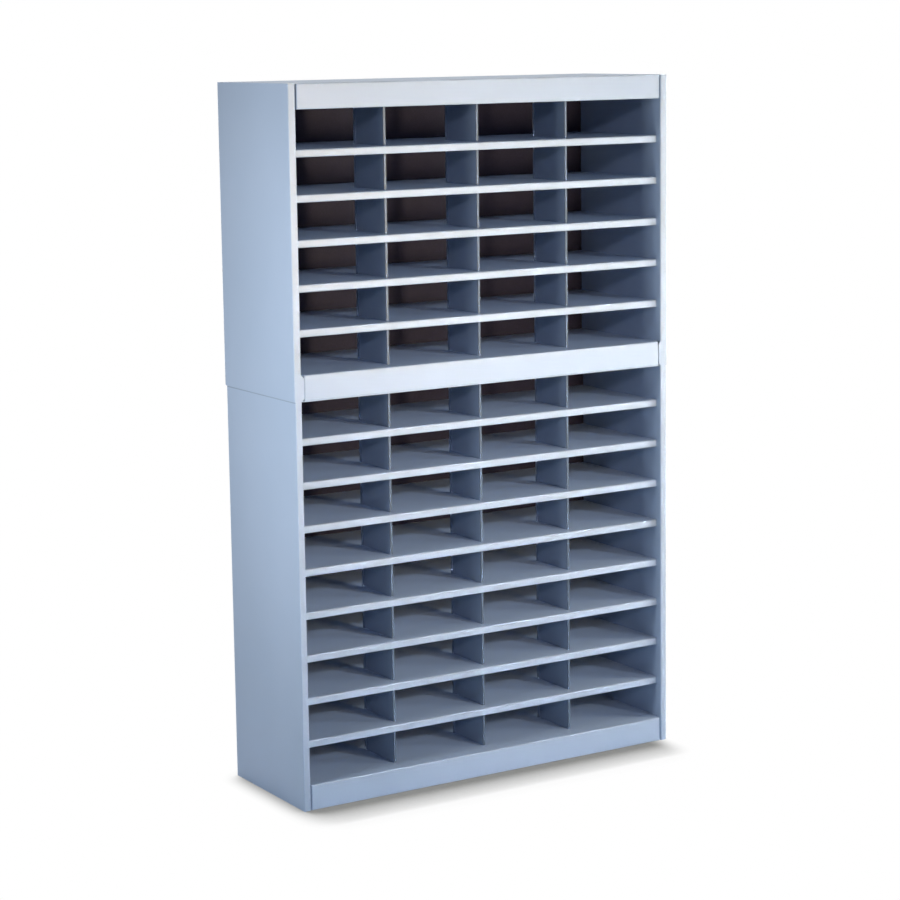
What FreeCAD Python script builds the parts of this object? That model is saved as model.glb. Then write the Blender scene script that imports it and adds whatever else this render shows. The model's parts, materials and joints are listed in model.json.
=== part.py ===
"""Pigeonhole mail sorter in painted sheet steel: a six-row unit on a nine-row unit, both four columns wide.

Millimetres. +Z is up, the compartments open towards -Y, and +X is the right-hand side seen from the front.
The origin lies on the floor, midway across the width and midway between the upper unit's front and rear.
Every sub-part is written to its own STEP file in the folder parts.
"""
import FreeCAD, Part
import math
import os
from collections import namedtuple

Vector = FreeCAD.Vector

# ---- Compartments ----
columns = 4
column_pitch = 229.6        # divider to divider
row_pitch = 92.35           # deck to deck
upper_rows = 6
lower_rows = 9

# ---- Carcass of each unit ----
post = 15.5                 # width of the lower unit's post faces beside the compartments
side_step = 1.6             # the upper unit is this much wider on each side
depth = 318.0               # front to rear of the upper unit
rear_step = 4.0             # the lower unit's rear stops this far short of the upper unit's
base_height = 54.5          # front rail below the lowest deck
header_height = 52.5        # front rail above the top row
upper_top_clear = 81.85     # highest deck to the underside of the header
lower_top_clear = 80.1      # highest deck to the top of the lower unit

# ---- Sheet metal ----
sheet = 1.2
bend = 1.5                  # inside radius of a bend
post_return = 16.5          # strip that turns back behind a post face
rear_flange = 20.0          # strip that turns in at the rear edge of a side panel
seat_flange = 9.0           # narrow flange inside the hollow side wall
seat_inset = 26.0           # distance of those flanges from the front and rear faces
rail_depth = 24.0           # how far the front rails turn back
rail_gap = 3.0              # groove between a front rail and the post
rail_skirt = 20.0           # side skirts of the top panel and base pans
rear_rail = 25.0            # flange of the top panel and of the stacking frame behind the back panel
rear_catch = 10.0           # upstand of a base pan behind the back panel
post_tab = 6.0              # flat tab of the upper post beside its base pan

# ---- Shelves ----
lip_height = 16.0
lip_return = 10.0           # strip that turns back under the lip
edge_gap = 0.5              # play between parts that meet edge to edge

# ---- Hooks that hang the shelves in the slotted side liners ----
hook_width = 12.0
hook_arm = 4.0
hook_length = 12.0
hook_inset = 45.0           # hook centre to the ends of the shelf
hook_play = 1.0

# ---- Dividers ----
divider_setback = 41.5      # front edge behind the front face of the unit
divider_depth = 120.0
divider_flange = 4.0        # stiffening flange along the front and rear edges
divider_top_gap = 0.5
tab_width = 40.0            # tab under the middle of the divider
tab_play = 0.3

# ---- Back panels ----
back_board = 3.0

# ---- Frame on top of the lower unit, and the bolts that join the units ----
frame_side = 30.0           # width of the frame's side strips inside the liners
frame_strip = 29.0          # width of its front and rear strips
frame_upstand = 12.0
corner_cut = 5.0            # height of the slanted cut at the upper side panel's lower rear corner
lug_width = 30.0            # lugs behind the upper base pan's rear wall that take the bolts
bolt_radius = 3.0
bolt_play = 0.2
bolt_head_flats = 10.0
bolt_head_height = 4.0
nut_height = 5.0
bolt_tip = 1.5              # thread showing beyond the nut
bolt_margin = 60.0          # bolt centre to the side wall
bolt_inset = 13.0           # bolt centre to the lower back panel
thread_play = 0.05

# ---- Derived sizes shared by the sub-parts ----
half_opening = columns * column_pitch / 2
liner_face = half_opening + sheet
front = -depth / 2
lip_front = front + post_return + edge_gap
outer_bend = bend + sheet
divider_columns = [(i + 1) * column_pitch - half_opening for i in range(columns - 1)]
divider_front = front + divider_setback
divider_rear = divider_front + divider_depth
tab_front = divider_front + (divider_depth - tab_width) / 2
tab_rear = tab_front + tab_width

Unit = namedtuple("Unit", "name bottom top rear half_width decks header")


def make_unit(name, bottom, rows, top_clear, header, rear, half_width):
    """Outline of one unit: its faces, and the height of every deck from the base pan upwards."""
    decks = [bottom + base_height + i * row_pitch for i in range(rows)]
    return Unit(name, bottom, decks[-1] + top_clear + header, rear, half_width, decks, header)


lower = make_unit("lower", 0.0, lower_rows, lower_top_clear, 0.0,
                  front + depth - rear_step, half_opening + post)
upper = make_unit("upper", lower.top, upper_rows, upper_top_clear, header_height,
                  front + depth, lower.half_width + side_step)


# ---- Shape helpers ----
def box(x0, x1, y0, y1, z0, z1):
    return Part.makeBox(x1 - x0, y1 - y0, z1 - z0, Vector(x0, y0, z0))


def fuse(shapes):
    return shapes[0].multiFuse(shapes[1:]).removeSplitter()


def mirrored(shape):
    return shape.mirror(Vector(0, 0, 0), Vector(1, 0, 0))


def offset_points(points, distance):
    """Points of an open path moved sideways to its left by the distance."""
    normals = []
    for start, end in zip(points, points[1:]):
        run = math.dist(start, end)
        normals.append(((start[1] - end[1]) / run, (end[0] - start[0]) / run))
    normals = [normals[0]] + normals + [normals[-1]]
    moved = []
    for point, before, after in zip(points, normals, normals[1:]):
        scale = distance / (1 + before[0] * after[0] + before[1] * after[1])
        moved.append((point[0] + scale * (before[0] + after[0]), point[1] + scale * (before[1] + after[1])))
    return moved


def rounded_path(points, left_radius, right_radius, sharp):
    """Edges along an open path in the XY plane, with its turns rounded except at the sharp corners."""
    edges = []
    at = Vector(*points[0], 0)
    for before, corner, after in zip(points, points[1:], points[2:]):
        if corner in sharp:
            edges.append(Part.LineSegment(at, Vector(*corner, 0)).toShape())
            at = Vector(*corner, 0)
            continue
        into = Vector(corner[0] - before[0], corner[1] - before[1], 0).normalize()
        out = Vector(after[0] - corner[0], after[1] - corner[1], 0).normalize()
        turn = into.getAngle(out)
        side = 1 if into.cross(out).z > 0 else -1
        radius = left_radius if side > 0 else right_radius
        corner = Vector(*corner, 0)
        first = corner - into * radius * math.tan(turn / 2)
        last = corner + out * radius * math.tan(turn / 2)
        centre = first + Vector(-into.y, into.x, 0) * side * radius
        middle = centre + (corner - centre).normalize() * radius
        edges += [Part.LineSegment(at, first).toShape(), Part.Arc(first, middle, last).toShape()]
        at = last
    edges.append(Part.LineSegment(at, Vector(*points[-1], 0)).toShape())
    return edges


def bent_section(points, sharp=()):
    """Face in the XY plane of a bent sheet on the left of the path; some corners can stay sharp."""
    inside = offset_points(points, sheet)
    outer = rounded_path(points, outer_bend, bend, sharp)
    inner = rounded_path(inside, bend, outer_bend, [inside[points.index(corner)] for corner in sharp])
    start = Part.LineSegment(inner[0].Vertexes[0].Point, outer[0].Vertexes[0].Point).toShape()
    end = Part.LineSegment(outer[-1].Vertexes[-1].Point, inner[-1].Vertexes[-1].Point).toShape()
    return Part.Face(Part.Wire(outer + [end] + inner[::-1] + [start]))


def sheet_upright(points, z0, z1):
    """Bent sheet drawn in plan and carried upwards from z0 to z1."""
    section = bent_section(points)
    section.translate(Vector(0, 0, z0))
    return section.extrude(Vector(0, 0, z1 - z0))


def sheet_across(points, half_width, sharp=()):
    """Bent sheet drawn as (y, z) points and carried across the width."""
    section = bent_section(points, sharp)
    section.rotate(Vector(0, 0, 0), Vector(1, 1, 1), 120)
    section.translate(Vector(-half_width, 0, 0))
    return section.extrude(Vector(2 * half_width, 0, 0))


def rail_tray(half_width, z0, z1):
    """Front rail: a shallow tray that is open to the rear, with a rounded rim all round its front face."""
    outer = box(-half_width, half_width, front, front + rail_depth, z0, z1)
    hollow = box(sheet - half_width, half_width - sheet, front + sheet, front + rail_depth + sheet,
                 z0 + sheet, z1 - sheet)
    return rounded_front(outer, outer_bend).cut(rounded_front(hollow, bend))


def rounded_front(block, radius):
    """Block with the four edges of its front face rounded."""
    level = block.BoundBox.YMin
    rim = [edge for edge in block.Edges if edge.BoundBox.YMax - level < sheet / 10]
    return block.makeFillet(radius, rim)


def hex_prism(flats, height, centre):
    corners = []
    for i in range(7):
        angle = math.radians(60 * i)
        reach = flats / math.sqrt(3)
        corners.append(centre + Vector(reach * math.cos(angle), reach * math.sin(angle), 0))
    return Part.Face(Part.makePolygon(corners)).extrude(Vector(0, 0, height))


# ---- Places shared by the sub-parts ----
def board_front(unit):
    """Front face of the back panel, which is also the rear face of every rear flange inside the unit."""
    return unit.rear - sheet - back_board


def between_flanges(unit):
    """Half the width that fits between the rear flanges of the unit's side panels."""
    return unit.half_width - rear_flange - edge_gap


def hook_places(unit):
    return [lip_front + hook_inset, board_front(unit) - hook_inset]


def bolt_places():
    """(x, y) of the two bolts between the units."""
    return [(side * (half_opening - bolt_margin), board_front(lower) - bolt_inset) for side in (-1, 1)]


def divider_slots(z_top):
    """Cutters for the slots in a deck that take the divider tabs."""
    half_slot = sheet / 2 + tab_play
    return [box(x - half_slot, x + half_slot, tab_front - tab_play, tab_rear + tab_play,
                z_top - 2 * sheet, z_top + sheet) for x in divider_columns]


# ---- Sub-parts ----
def side_panel(unit):
    """Right-hand outer side: front post with its return, wall, rear flange and seating flanges."""
    outside = unit.half_width
    inside = outside - sheet
    plan = [(half_opening, front + post_return), (half_opening, front), (outside, front),
            (outside, unit.rear), (outside - rear_flange, unit.rear)]
    seat_front = front + seat_inset
    seat_rear = unit.rear - seat_inset
    panel = [sheet_upright(plan, unit.bottom, unit.top),
             box(inside - seat_flange, inside, seat_front, seat_rear, unit.bottom, unit.bottom + sheet)]
    if unit.header:
        # The top panel lies over the post. Beside the base pan the post has a flat tab and no return.
        joint = half_opening + outer_bend
        rail_top = unit.bottom + base_height
        edge = half_opening - sheet
        panel[0] = panel[0].cut([box(edge, inside, front - sheet, lip_front, unit.top - sheet, unit.top),
                                 box(edge, joint, front - sheet, lip_front, unit.bottom, rail_top),
                                 corner_wedge(unit)])
        panel.append(post_tab_plate(unit.bottom, rail_top, joint))
    else:
        # The stacking frame rests on a second flange, one sheet below the top edge.
        seat_top = unit.top - sheet
        panel.append(box(inside - seat_flange, inside, seat_front, seat_rear, seat_top - sheet, seat_top))
    return fuse(panel)


def post_tab_plate(z0, z1, joint):
    """Flat tab beside the upper base pan, with its two inner corners cut off at 45 degrees."""
    tip = half_opening - post_tab
    outline = [(joint, z0), (half_opening, z0), (tip, z0 + post_tab), (tip, z1 - post_tab),
               (half_opening, z1), (joint, z1), (joint, z0)]
    face = Part.Face(Part.makePolygon([Vector(x, front, z) for x, z in outline]))
    return face.extrude(Vector(0, sheet, 0))


def corner_wedge(unit):
    """Cutter that slants the lower rear corner of a side panel in towards the lower unit's rear face."""
    outline = [(lower.rear, unit.bottom), (unit.rear, unit.bottom), (unit.rear, unit.bottom + corner_cut),
               (lower.rear, unit.bottom)]
    face = Part.Face(Part.makePolygon([Vector(0, y, z) for y, z in outline]))
    return face.extrude(Vector(unit.half_width, 0, 0))


def side_liner(unit):
    """Right-hand inner side wall, slotted for the shelf hooks, with a flange that traps the back panel."""
    rear = board_front(unit)
    plan = [(liner_face + seat_flange, rear), (liner_face, rear), (liner_face, front + outer_bend)]
    liner = sheet_upright(plan, unit.decks[0], unit.top - sheet)
    half_slot = hook_width / 2 + hook_play
    slots = []
    for deck in unit.decks[1:]:
        seat = deck - lip_height + sheet
        for y in hook_places(unit):
            slots.append(box(liner_face - sheet, liner_face + 2 * sheet, y - half_slot, y + half_slot,
                             seat, seat + hook_length + hook_play))
    return liner.cut(slots)


def shelf(unit, z_top):
    """Shelf with a front lip that turns under, a rear flange, end flanges and two hooks at each end."""
    rear = board_front(unit)
    z_low = z_top - lip_height
    rear_corner = (rear, z_top)
    section = [(rear, z_low), rear_corner, (lip_front, z_top), (lip_front, z_low),
               (lip_front + lip_return, z_low)]
    pieces = [sheet_across(section, liner_face, [rear_corner])]
    end = box(liner_face - sheet, liner_face, lip_front + outer_bend, rear - outer_bend,
              z_low + sheet, z_top - sheet)
    pieces += [end, mirrored(end)]
    hook_seat = z_low + sheet
    for y in hook_places(unit):
        y0 = y - hook_width / 2
        y1 = y + hook_width / 2
        hook = box(liner_face - sheet, liner_face + 2 * sheet, y0, y1, hook_seat, hook_seat + hook_arm)
        leg = box(liner_face + sheet, liner_face + 2 * sheet, y0, y1,
                  hook_seat + hook_arm - hook_length, hook_seat + hook_arm)
        pieces += [hook, leg, mirrored(hook), mirrored(leg)]
    return fuse(pieces).cut(divider_slots(z_top))


def deck_wing(unit, y0, y1, z_top):
    """Right-hand edge of a deck over the hollow side wall, with a skirt against the side panel."""
    inside = unit.half_width - sheet
    wing = box(between_flanges(unit) - sheet, inside, y0, y1, z_top - sheet, z_top)
    skirt = box(inside - sheet, inside, front + seat_inset, board_front(unit) - seat_inset,
                z_top - rail_skirt, z_top)
    return wing.fuse(skirt)


def base_pan(unit):
    """Lowest deck of a unit, with its front rail and a rear wall that ends in a channel for the back panel.

    The upper one also has two lugs inside the foot of that wall, through which it is bolted down.
    """
    z_top = unit.decks[0]
    rear = board_front(unit)
    rail_half = half_opening - rail_gap
    if unit.header:
        rail_half = half_opening - post_tab - edge_gap
    wall_foot = (rear - sheet, unit.bottom)
    section = [(lip_front, z_top - sheet), (rear - sheet, z_top - sheet), wall_foot,
               (unit.rear, unit.bottom), (unit.rear, unit.bottom + rear_catch)]
    wing = deck_wing(unit, lip_front, rear, z_top)
    pan = fuse([sheet_across(section, between_flanges(unit), [wall_foot]), wing, mirrored(wing),
                rail_tray(rail_half, unit.bottom, z_top)])
    pan = pan.cut(box(sheet - rail_half, rail_half - sheet, front + outer_bend, lip_front + sheet,
                      unit.bottom + sheet, z_top - sheet))
    if not unit.header:
        return pan.cut(divider_slots(z_top))
    lugs = [box(x - lug_width / 2, x + lug_width / 2, lower.rear - frame_strip, rear - sheet,
                unit.bottom, unit.bottom + sheet) for x, y in bolt_places()]
    return fuse([pan] + lugs).cut(divider_slots(z_top) + bolt_holes(unit.bottom))


def bolt_holes(z):
    """Cutters for the joining bolts through one sheet on each side of the height z."""
    radius = bolt_radius + bolt_play
    return [Part.makeCylinder(radius, 4 * sheet, Vector(x, y, z - 2 * sheet)) for x, y in bolt_places()]


def top_panel(unit):
    """Top deck with the header rail in front, skirts at the sides and a flange over the back panel."""
    section = [(unit.rear, unit.top - rear_rail), (unit.rear, unit.top), (lip_front, unit.top)]
    wing = deck_wing(unit, front, unit.rear - outer_bend, unit.top)
    return fuse([sheet_across(section, between_flanges(unit)), wing, mirrored(wing),
                 rail_tray(half_opening - rail_gap, unit.top - header_height, unit.top)])


def stacking_frame(unit):
    """Open frame that carries the upper unit, with an upstand behind the upper unit's front rail."""
    inside = unit.half_width - sheet
    low = unit.top - sheet
    front_strip = sheet_across([(front + sheet, low), (front + frame_strip, low),
                                (front + frame_strip, unit.top + frame_upstand)], half_opening - rail_gap)
    rear_strip = sheet_across([(unit.rear, unit.top - rear_rail), (unit.rear, unit.top),
                               (unit.rear - frame_strip, unit.top)], between_flanges(unit))
    side = box(half_opening - frame_side, inside, lip_front, unit.rear - outer_bend, low, unit.top)
    return fuse([front_strip, rear_strip, side, mirrored(side)]).cut(bolt_holes(unit.top))


def back_panel(unit):
    """Hardboard back that stands in the base pan's channel, its edges covered by the flanges all round."""
    reach = unit.half_width - outer_bend
    return box(-reach, reach, board_front(unit), board_front(unit) + back_board,
               unit.bottom + outer_bend, unit.top - outer_bend)


def divider(x, z):
    """Divider plate with a sharp fold along its front and rear edges and a tab in the deck below."""
    web = x - sheet / 2
    path = [(web - divider_flange, divider_rear - sheet), (web, divider_rear - sheet), (web, divider_front),
            (web + sheet + divider_flange, divider_front)]
    outline = path + offset_points(path, sheet)[::-1] + path[:1]
    section = Part.Face(Part.makePolygon([Vector(u, v, z) for u, v in outline]))
    plate = section.extrude(Vector(0, 0, row_pitch - sheet - divider_top_gap))
    tab = box(web, web + sheet, tab_front, tab_rear, z - sheet, z + sheet)
    return fuse([plate, tab])


def joining_bolt(x, y):
    """Hexagon bolt driven from below through the stacking frame and the upper base pan."""
    head = hex_prism(bolt_head_flats, bolt_head_height, Vector(x, y, lower.top - sheet - bolt_head_height))
    length = 2 * sheet + nut_height + bolt_tip
    shank = Part.makeCylinder(bolt_radius, length, Vector(x, y, lower.top - sheet))
    return fuse([head, shank])


def joining_nut(x, y):
    seat = lower.top + sheet
    nut = hex_prism(bolt_head_flats, nut_height, Vector(x, y, seat))
    return nut.cut(Part.makeCylinder(bolt_radius + thread_play, nut_height, Vector(x, y, seat)))


# ---- Assembly ----
parts = {}
for unit in (upper, lower):
    panel = side_panel(unit)
    liner = side_liner(unit)
    parts[unit.name + "_right_side_panel"] = panel
    parts[unit.name + "_left_side_panel"] = mirrored(panel)
    parts[unit.name + "_right_side_liner"] = liner
    parts[unit.name + "_left_side_liner"] = mirrored(liner)
    parts[unit.name + "_base_pan"] = base_pan(unit)
    parts[unit.name + "_back_panel"] = back_panel(unit)
    for number, deck in enumerate(unit.decks[:0:-1], start=1):
        parts["%s_shelf_%d" % (unit.name, number)] = shelf(unit, deck)
    for number, deck in enumerate(unit.decks[::-1], start=1):
        row = Part.makeCompound([divider(x, deck) for x in divider_columns])
        parts["%s_row_%d_dividers" % (unit.name, number)] = row
parts["upper_top_panel"] = top_panel(upper)
parts["lower_stacking_frame"] = stacking_frame(lower)
parts["joining_bolts"] = Part.makeCompound([joining_bolt(x, y) for x, y in bolt_places()])
parts["joining_nuts"] = Part.makeCompound([joining_nut(x, y) for x, y in bolt_places()])

os.makedirs("parts", exist_ok=True)
for name, shape in parts.items():
    shape.exportStep("parts/%s.step" % name)
print("wrote", len(parts), "parts, overall height", round(upper.top, 2))
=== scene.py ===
"""Looks for the pigeonhole mail sorter: powder-coated steel, hardboard backs, a plain studio and the camera.

Metres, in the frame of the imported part: +Z up, the pigeonholes open towards -Y, the floor at z = 0.
"""

import json
import math

import bpy
from mathutils import Euler, Matrix, Vector


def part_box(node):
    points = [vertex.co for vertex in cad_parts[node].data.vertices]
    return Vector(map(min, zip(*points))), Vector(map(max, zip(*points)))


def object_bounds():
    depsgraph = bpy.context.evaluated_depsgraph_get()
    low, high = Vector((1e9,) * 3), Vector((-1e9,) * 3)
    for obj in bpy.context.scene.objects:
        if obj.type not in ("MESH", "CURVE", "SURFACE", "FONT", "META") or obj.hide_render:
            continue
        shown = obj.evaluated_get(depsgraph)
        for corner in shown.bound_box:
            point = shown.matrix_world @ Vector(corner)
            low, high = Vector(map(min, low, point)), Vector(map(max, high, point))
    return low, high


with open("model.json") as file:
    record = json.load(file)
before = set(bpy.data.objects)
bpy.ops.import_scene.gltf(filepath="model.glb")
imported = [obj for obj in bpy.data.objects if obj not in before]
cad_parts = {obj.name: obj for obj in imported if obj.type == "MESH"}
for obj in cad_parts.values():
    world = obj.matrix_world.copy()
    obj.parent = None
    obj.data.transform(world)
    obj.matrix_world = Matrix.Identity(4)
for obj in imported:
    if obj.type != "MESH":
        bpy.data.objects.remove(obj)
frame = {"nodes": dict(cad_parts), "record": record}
cad_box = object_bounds()

# ---- Colours (linear light) ----
POWDER_COAT = (0.365, 0.460, 0.605)
POWDER_COAT_PALE = (0.395, 0.490, 0.640)
# painted shade: the dividers' coat is a darker copy of the rest
DIVIDER_COAT_PAINTED_SHADE = (0.275, 0.350, 0.465)
DIVIDER_COAT_PAINTED_SHADE_PALE = (0.300, 0.375, 0.495)
# painted shade on the dividers' front flanges
DIVIDER_EDGE_PAINTED_SHADE = (0.088, 0.134, 0.215)
# painted shade along the joint between the two units
SEAM_PAINTED_SHADE = (0.260, 0.330, 0.440)
HARDBOARD = (0.011, 0.010, 0.029)
HARDBOARD_FLECK = (0.018, 0.016, 0.044)
ZINC = (0.60, 0.61, 0.62)
FLOOR = (0.90, 0.89, 0.88)
FLOOR_BOUNCE = (0.62, 0.78, 0.95)
CONTACT_SHADE = (0.22, 0.22, 0.21)
FILL_COLOUR = (0.93, 0.96, 1.0)
WHITE = (1.0, 1.0, 1.0)

# ---- Surface detail: noise scales per metre, depths in metres, and the lowest and highest roughness ----
SHADE_SCALE = 2.5
SHADE_RANGE = (0.35, 0.65)     # noise values at which the coat is plain, and at which it is palest
PEEL_SCALE = 620.0
PEEL_STRENGTH = 0.06
PEEL_DEPTH = 0.0004
GLOSS_SCALE = 14.0
COAT_ROUGHNESS = (0.34, 0.46)
FLECK_SCALE = 380.0
FLECK_RANGE = (0.48, 0.68)     # noise values at which the flecks start, and at which they are palest
FIBRE_SCALE = 900.0
FIBRE_STRENGTH = 0.15
FIBRE_DEPTH = 0.0003
SHEEN_SCALE = 60.0
HARDBOARD_ROUGHNESS = (0.55, 0.7)
HARDBOARD_SPECULAR = 0.2
CLOUD_SCALE = 220.0
ZINC_ROUGHNESS = (0.25, 0.5)

# ---- Joint between the two units: a thin line of painted shade on the outer faces of the sides ----
SEAM_DROP = 0.0016             # from the top of the lower unit's side down to the middle of the line
SEAM_HALF_WIDTH = 0.0014
SIDE_MARGIN = 0.0007           # how far inside that side's outer face the line still counts as on it

# ---- Front flanges of the dividers: broader in the CAD than in the photograph, so darkened with painted shade ----
DIVIDER_EDGE_DEPTH = 0.002     # the painted shade reaches this far back from their front face

# ---- Floor and fill ----
FLOOR_HALF = 30.0
FILL_STRENGTH = 0.02
CONTACT_REACH = 0.12           # how far the contact shadow spreads from the base
CONTACT_LEAN = (0.0, 0.8, 0.0)     # draws the contact shadow out in front of the base
CONTACT_SAMPLES = 16
CONTACT_RANGE = (0.5, 1.0)     # openness at which the contact shadow is darkest, and at which it ends
SHADOW_PLACE = (-0.022, -0.06, 0.0)    # middle of the area of floor that keeps shadows
SHADOW_INSET = 0.077           # how much narrower this area is than the base, on each side
SHADOW_FADE = (0.04, 0.11)     # distances from that area where the shadows start to fade and where they end
SHADOW_SHARE = 0.10            # how much of the lamps' shadows the floor shows

# ---- Camera ----
IMAGE_PIXELS = 900
CAMERA_PLACE = (-2.794, -4.516, 1.615)
CAMERA_HEADING = 31.72      # degrees from +Y towards +X
CAMERA_PITCH = -8.56
CAMERA_ROLL = -0.77
CAMERA_FOCAL_PIXELS = 2423
SENSOR_WIDTH = 36.0         # millimetres, as Blender counts them
CAMERA_SHIFT_Y = -0.055


# ---- Node helpers ----
class Nodes:
    """The node tree of a new material, or of a world, with short ways to add and join nodes."""

    def __init__(self, owner):
        kind = "World"
        if isinstance(owner, str):
            kind = "Material"
            owner = bpy.data.materials.new(owner)
            owner.use_nodes = True
        self.owner = owner
        self.tree = owner.node_tree
        self.tree.nodes.clear()
        self.output = self.tree.nodes.new("ShaderNodeOutput" + kind)

    def add(self, kind, settings=(), **inputs):
        node = self.tree.nodes.new("ShaderNode" + kind)
        for name, value in dict(settings).items():
            setattr(node, name, value)
        for name, value in inputs.items():
            self.put(node.inputs[name.replace("_", " ")], value)
        return node

    def put(self, socket, value):
        """Joins another node's output to the socket, or sets the socket's own value."""
        if isinstance(value, bpy.types.NodeSocket):
            self.tree.links.new(value, socket)
        elif socket.type == "RGBA" and len(value) == 3:
            socket.default_value = (*value, 1.0)
        else:
            socket.default_value = value

    def place(self):
        """A point's place in the frame: the nodes stand at the origin, so it is their object coordinates."""
        return self.add("TexCoord").outputs["Object"]

    def noise(self, scale, detail=2.0, roughness=0.5):
        node = self.add("TexNoise", Vector=self.place(), Scale=scale, Detail=detail, Roughness=roughness)
        return node.outputs["Fac"]

    def ramp(self, factor, low, high):
        """Factor stretched so that low becomes 0 and high becomes 1."""
        node = self.add("MapRange", Value=factor)
        self.put(node.inputs["From Min"], low)
        self.put(node.inputs["From Max"], high)
        return node.outputs["Result"]

    def between(self, factor, low, high):
        """Factor stretched so that 0 becomes low and 1 becomes high."""
        node = self.add("MapRange", Value=factor)
        self.put(node.inputs["To Min"], low)
        self.put(node.inputs["To Max"], high)
        return node.outputs["Result"]

    def mix(self, factor, first, second):
        node = self.add("Mix", {"data_type": "RGBA"})
        self.put(node.inputs[0], factor)
        self.put(node.inputs[6], first)
        self.put(node.inputs[7], second)
        return node.outputs[2]

    def maths(self, operation, first, second):
        node = self.add("Math", {"operation": operation})
        self.put(node.inputs[0], first)
        self.put(node.inputs[1], second)
        return node.outputs["Value"]

    def vectors(self, operation, first, second):
        node = self.add("VectorMath", {"operation": operation})
        self.put(node.inputs[0], first)
        self.put(node.inputs[1], second)
        return node.outputs["Vector"]

    def blend(self, share, first, second):
        """Shader that goes from the first shader to the second as the share goes from 0 to 1."""
        node = self.add("MixShader", Fac=share)
        self.tree.links.new(first.outputs[0], node.inputs[1])
        self.tree.links.new(second.outputs[0], node.inputs[2])
        return node

    def finish(self, shader):
        self.tree.links.new(shader.outputs[0], self.output.inputs["Surface"])
        return self.owner


# ---- Materials ----
def seam_shade_area(n):
    """1 on the line of painted shade where the upper unit stands on the lower one, on the outer faces of the
    sides.
    """
    low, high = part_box("lower_left_side_panel")
    place = n.add("SeparateXYZ", Vector=n.place())
    off_line = n.maths("ABSOLUTE", n.maths("SUBTRACT", place.outputs["Z"], high[2] - SEAM_DROP), 0.0)
    on_line = n.maths("LESS_THAN", off_line, SEAM_HALF_WIDTH)
    aside = n.maths("ABSOLUTE", place.outputs["X"], 0.0)
    return n.maths("MULTIPLY", on_line, n.maths("GREATER_THAN", aside, abs(low[0]) - SIDE_MARGIN))


def divider_edge_shade_area(n):
    """1 on the front flanges of the dividers, where they carry painted shade."""
    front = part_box("upper_row_1_dividers")[0][1]
    place = n.add("SeparateXYZ", Vector=n.place())
    return n.maths("LESS_THAN", place.outputs["Y"], front + DIVIDER_EDGE_DEPTH)


def powder_coat(name, shade, paler_shade, painted_shade_area, painted_shade_colour):
    """Semi-gloss powder coat: orange peel, random drifts in tone and gloss, and painted shade on a marked
    area.
    """
    n = Nodes(name)
    drift = n.ramp(n.noise(SHADE_SCALE, 3.0), *SHADE_RANGE)
    # the marked area takes the colour of the painted shade
    colour = n.mix(painted_shade_area(n), n.mix(drift, shade, paler_shade), painted_shade_colour)
    peel = n.add("Bump", Height=n.noise(PEEL_SCALE), Strength=PEEL_STRENGTH, Distance=PEEL_DEPTH)
    shader = n.add("BsdfPrincipled", Base_Color=colour, Normal=peel.outputs["Normal"],
                   Roughness=n.between(n.noise(GLOSS_SCALE, 4.0), *COAT_ROUGHNESS))
    return n.finish(shader)


def hardboard():
    """Dark hardboard: fine short fibres and a dull sheen."""
    n = Nodes("hardboard")
    fleck = n.ramp(n.noise(FLECK_SCALE, 4.0, 0.7), *FLECK_RANGE)
    fibres = n.add("Bump", Height=n.noise(FIBRE_SCALE, 3.0), Strength=FIBRE_STRENGTH, Distance=FIBRE_DEPTH)
    shader = n.add("BsdfPrincipled", Base_Color=n.mix(fleck, HARDBOARD, HARDBOARD_FLECK),
                   Roughness=n.between(n.noise(SHEEN_SCALE), *HARDBOARD_ROUGHNESS),
                   Specular_IOR_Level=HARDBOARD_SPECULAR, Normal=fibres.outputs["Normal"])
    return n.finish(shader)


def zinc():
    """Bright zinc plating with a cloudy gloss."""
    n = Nodes("zinc")
    shader = n.add("BsdfPrincipled", Base_Color=ZINC, Metallic=1.0,
                   Roughness=n.between(n.noise(CLOUD_SCALE, 3.0), *ZINC_ROUGHNESS))
    return n.finish(shader)


def dress_nodes():
    """Gives every node the material of its slot in the record, and the dividers a darker coat that is
    painted shade.
    """
    coat = powder_coat("powder_coat", POWDER_COAT, POWDER_COAT_PALE, seam_shade_area, SEAM_PAINTED_SHADE)
    # the dividers get a darker copy of the coat, which is painted shade
    divider_coat = powder_coat("divider_coat", DIVIDER_COAT_PAINTED_SHADE, DIVIDER_COAT_PAINTED_SHADE_PALE, divider_edge_shade_area, DIVIDER_EDGE_PAINTED_SHADE)
    materials = {"powder_coated_steel": coat, "hardboard": hardboard(), "zinc_plated_steel": zinc()}
    slots = {part["node"]: part["material_slot"] for part in frame["record"]["subparts"]}
    for name, node in frame["nodes"].items():
        for slot in node.material_slots:
            slot.material = divider_coat if name.endswith("_dividers") else materials[slots[name]]


# ---- Studio ----
def seen_directly(n):
    """1 for rays from the camera, a reflection or a refraction, and 0 for light on its way to the sorter."""
    paths = n.add("LightPath")
    gloss = n.maths("MAXIMUM", paths.outputs["Is Camera Ray"], paths.outputs["Is Glossy Ray"])
    return n.maths("MAXIMUM", gloss, paths.outputs["Is Transmission Ray"])


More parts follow.
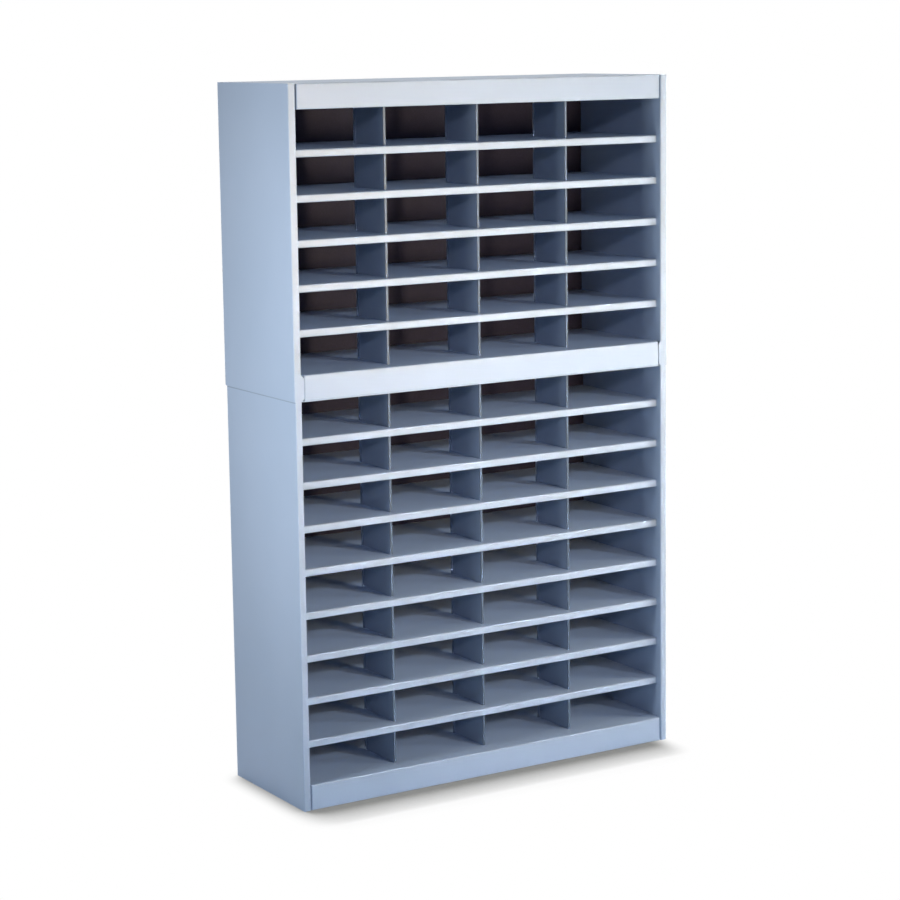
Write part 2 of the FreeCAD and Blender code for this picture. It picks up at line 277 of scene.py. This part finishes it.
def floor_material():
    """White floor with the sorter's shadow close to its base; light rays meet a bluish floor instead."""
    n = Nodes("floor")
    half_area = (cad_box[1][0] - SHADOW_INSET, cad_box[1][1], 0.0)
    from_middle = n.vectors("SUBTRACT", n.place(), SHADOW_PLACE)
    aside = n.add("VectorMath", {"operation": "ABSOLUTE"}, Vector=from_middle)
    beyond = n.vectors("MAXIMUM", n.vectors("SUBTRACT", aside.outputs["Vector"], half_area), (0.0, 0.0, 0.0))
    distance = n.add("VectorMath", {"operation": "LENGTH"}, Vector=beyond).outputs["Value"]
    fade = n.add("MapRange", {"interpolation_type": "SMOOTHSTEP"}, Value=distance,
                 From_Min=SHADOW_FADE[0], From_Max=SHADOW_FADE[1])
    leaned = n.vectors("ADD", n.add("NewGeometry").outputs["Normal"], CONTACT_LEAN)
    skyward = n.add("VectorMath", {"operation": "NORMALIZE"}, Vector=leaned).outputs["Vector"]
    clear = n.add("AmbientOcclusion", {"samples": CONTACT_SAMPLES}, Distance=CONTACT_REACH, Normal=skyward)
    contact = n.mix(n.ramp(clear.outputs["AO"], *CONTACT_RANGE), CONTACT_SHADE, WHITE)
    lit = n.add("BsdfDiffuse", Color=FLOOR)
    near = n.blend(SHADOW_SHARE, n.add("Emission", Color=contact, Strength=1.0), lit)
    white = n.add("Emission", Color=WHITE, Strength=1.0)
    bounce = n.add("BsdfDiffuse", Color=FLOOR_BOUNCE)
    return n.finish(n.blend(seen_directly(n), bounce, n.blend(fade.outputs["Result"], near, white)))


def make_floor():
    mesh = bpy.data.meshes.new("floor")
    corners = [(x * FLOOR_HALF, y * FLOOR_HALF, 0.0) for x, y in ((-1, -1), (1, -1), (1, 1), (-1, 1))]
    mesh.from_pydata(corners, [], [(0, 1, 2, 3)])
    floor = bpy.data.objects.new("floor", mesh)
    floor.data.materials.append(floor_material())
    bpy.context.collection.objects.link(floor)


def make_world():
    """Faint fill light; the camera, reflections and refractions see plain white."""
    world = bpy.data.worlds.new("studio")
    bpy.context.scene.world = world
    world.use_nodes = True
    n = Nodes(world)
    fill = n.add("Background", Color=FILL_COLOUR, Strength=FILL_STRENGTH)
    white = n.add("Background", Color=WHITE, Strength=1.0)
    n.finish(n.blend(seen_directly(n), fill, white))


def area_lamp(name, place, aim, size, power, colour=WHITE, spread=180.0):
    """Rectangular lamp that no camera sees; size is its width and height, and spread is in degrees."""
    lamp = bpy.data.lights.new(name, "AREA")
    lamp.spread = math.radians(spread)
    lamp.shape = "RECTANGLE"
    lamp.size, lamp.size_y = size
    lamp.energy = power
    lamp.color = colour
    holder = bpy.data.objects.new(name, lamp)
    holder.location = place
    holder.visible_camera = False
    holder.rotation_euler = (Vector(aim) - Vector(place)).to_track_quat("-Z", "Y").to_euler()
    bpy.context.collection.objects.link(holder)


def make_camera():
    camera = bpy.data.cameras.new("camera")
    camera.sensor_width = SENSOR_WIDTH
    camera.lens = camera.sensor_width * CAMERA_FOCAL_PIXELS / IMAGE_PIXELS
    camera.shift_y = CAMERA_SHIFT_Y
    holder = bpy.data.objects.new("camera", camera)
    heading = Euler((math.radians(90 + CAMERA_PITCH), 0, -math.radians(CAMERA_HEADING))).to_matrix()
    holder.matrix_world = (Matrix.Translation(CAMERA_PLACE)
                           @ (heading @ Matrix.Rotation(math.radians(CAMERA_ROLL), 3, "Z")).to_4x4())
    bpy.context.collection.objects.link(holder)
    bpy.context.scene.camera = holder


dress_nodes()
make_floor()
make_world()

# ---- Lamps: powers and tints fitted to the tones of the photograph, but right_strip's are given ----
area_lamp("right", place=(2.9, -2.2, 1.3), aim=(0.0, 0.0, 1.0), size=(0.7, 0.6), power=37.7,
          colour=(1.00, 1.00, 0.99))
area_lamp("beam", place=(0.5, -2.8, 1.1), aim=(0.0, -0.15, 1.15), size=(0.5, 0.5), power=5.3,
          colour=(1.31, 1.03, 0.66), spread=55.0)
area_lamp("left_strip", place=(-1.6, -0.30, 1.1), aim=(-0.47, -0.1, 1.1), size=(0.12, 1.4), power=3.4,
          colour=(0.94, 1.00, 1.06))
area_lamp("near_strip", place=(-1.1, -0.27, 1.0), aim=(-0.47, -0.1, 1.0), size=(0.12, 1.2), power=4.4,
          colour=(0.98, 1.01, 1.01))
area_lamp("key", place=(-3.2, -7.5, 3.6), aim=(0.0, 0.0, 0.8), size=(0.5, 0.5), power=1.6,
          colour=(0.92, 0.93, 1.15), spread=20.0)
area_lamp("high_right", place=(3.0, -7.42, 3.4), aim=(0.0, 0.0, 0.5), size=(0.45, 0.45), power=4.2,
          colour=(0.92, 0.99, 1.09), spread=22.0)
area_lamp("right_strip", place=(1.05, -0.52, 0.65), aim=(0.47, -0.16, 0.65), size=(0.12, 1.2), power=2.9,
          colour=(1.12, 1.00, 0.74))

# ---- Lamps for the sides that the photograph does not show, given ----
area_lamp("behind", place=(0.9, 2.6, 1.1), aim=(0.1, 0.1, 0.7), size=(1.6, 0.9), power=24.0)
area_lamp("above", place=(0.1, 0.9, 4.2), aim=(0.0, 0.0, 1.5), size=(0.9, 0.9), power=30.0)
area_lamp("right_rear", place=(2.8, 0.6, 1.1), aim=(0.4, 0.0, 0.7), size=(0.9, 0.9), power=22.0)

make_camera()
bpy.context.scene.view_settings.view_transform = "Standard"
